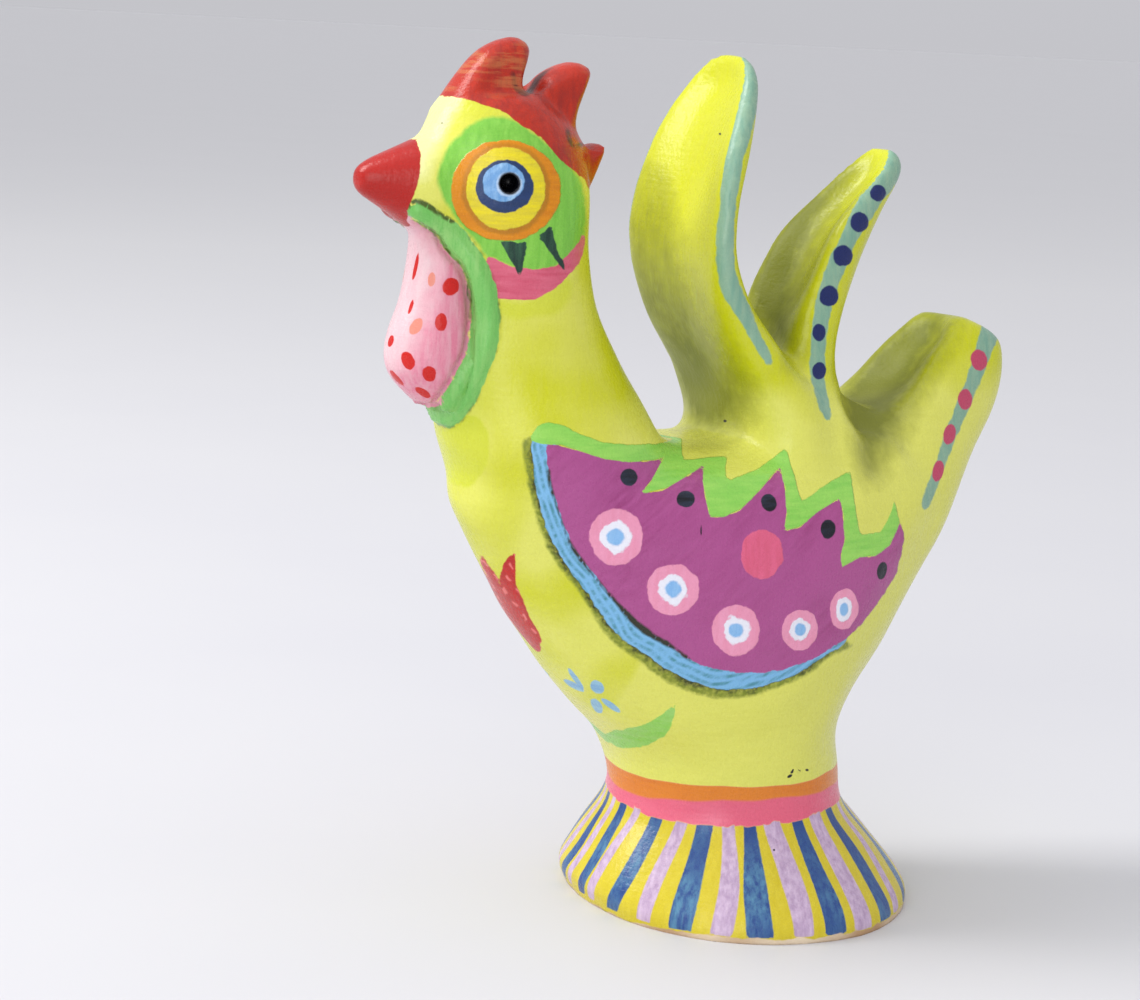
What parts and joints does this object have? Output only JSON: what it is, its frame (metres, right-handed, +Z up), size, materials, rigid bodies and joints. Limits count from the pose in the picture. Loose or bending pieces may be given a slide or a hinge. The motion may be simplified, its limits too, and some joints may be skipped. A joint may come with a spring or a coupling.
{
  "type": "ceramic rooster whistle",
  "caption": "Hand-painted ceramic rooster on a hollow flared foot, a whistle blown through its rearmost tail feather.",
  "frame": {"origin": "on the table, under the middle of the bird's whole length from beak to mouthpiece", "axes": "+Z up, the rooster faces -Y, its left side is towards +X, and it is the same on both sides of x = 0"},
  "size_m": [0.0638, 0.1328, 0.1499],
  "materials": {
    "lime_glaze": "semi-gloss painted"
  },
  "bodies": {
    "root": {"rooster": "lime_glaze"}
  },
  "joints": []
}
